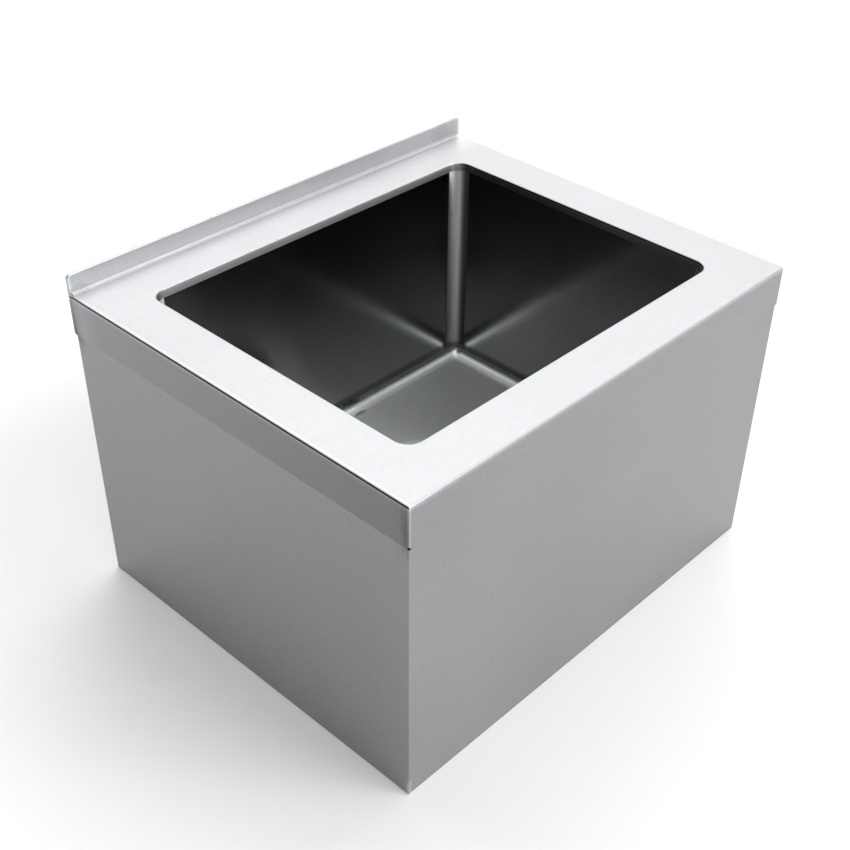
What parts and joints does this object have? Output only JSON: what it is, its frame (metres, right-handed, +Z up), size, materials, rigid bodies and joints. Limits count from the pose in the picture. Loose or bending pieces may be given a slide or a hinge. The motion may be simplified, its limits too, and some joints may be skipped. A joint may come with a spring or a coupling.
{
  "type": "mop service sink",
  "caption": "Floor-standing mop sink in folded stainless sheet: deep coved bowl in a flat deck with a low rear splash, skirts down to the floor, and a basket drain with a lift-up stopper.",
  "frame": {"origin": "on the floor, under the middle of the deck", "axes": "+Z up, +Y towards the wall behind the sink, +X to the right of someone facing the sink"},
  "size_m": [0.635, 0.5334, 0.4318],
  "materials": {
    "brushed_deck": "long-grain brushed, edges bright",
    "smooth_bowl": "smooth satin, mirrors softly",
    "brushed_skirt": "fine brushed",
    "turned_steel": "turned and polished",
    "black_rubber": "matt black",
    "fibre_washer": "pressed fibre",
    "cast_zinc": "die-cast, dull",
    "white_plastic": "moulded",
    "plated_tube": "bright plated",
    "brass_bush": "turned brass"
  },
  "bodies": {
    "sink": {"deck": "brushed_deck", "bowl_walls": "smooth_bowl", "bowl_pan": "smooth_bowl", "front_skirt": "brushed_skirt", "rear_skirt": "brushed_skirt", "left_skirt": "brushed_skirt", "right_skirt": "brushed_skirt", "corner_gussets": "brushed_skirt", "drain_body": "turned_steel", "drain_crosspiece": "turned_steel", "flange_seal": "black_rubber", "bowl_gasket": "black_rubber", "friction_washer": "fibre_washer", "locknut": "cast_zinc", "coupling_washer": "white_plastic", "coupling_nut": "cast_zinc", "tailpiece": "plated_tube"},
    "basket": {"strainer_basket": "turned_steel", "basket_plate": "turned_steel", "stem_bush": "brass_bush"},
    "stopper_stem": {"stem": "plated_tube", "stopper": "black_rubber", "stopper_retainer": "brass_bush", "stem_knob": "plated_tube"}
  },
  "joints": [
    {"name": "basket_lift", "type": "slide", "parent": "sink", "child": "basket", "axis": [0, 0, 1], "range_m": [0, 0.1]},
    {"name": "stopper_lift", "type": "slide", "parent": "basket", "child": "stopper_stem", "axis": [0, 0, 1], "range_m": [0, 0.008]}
  ]
}
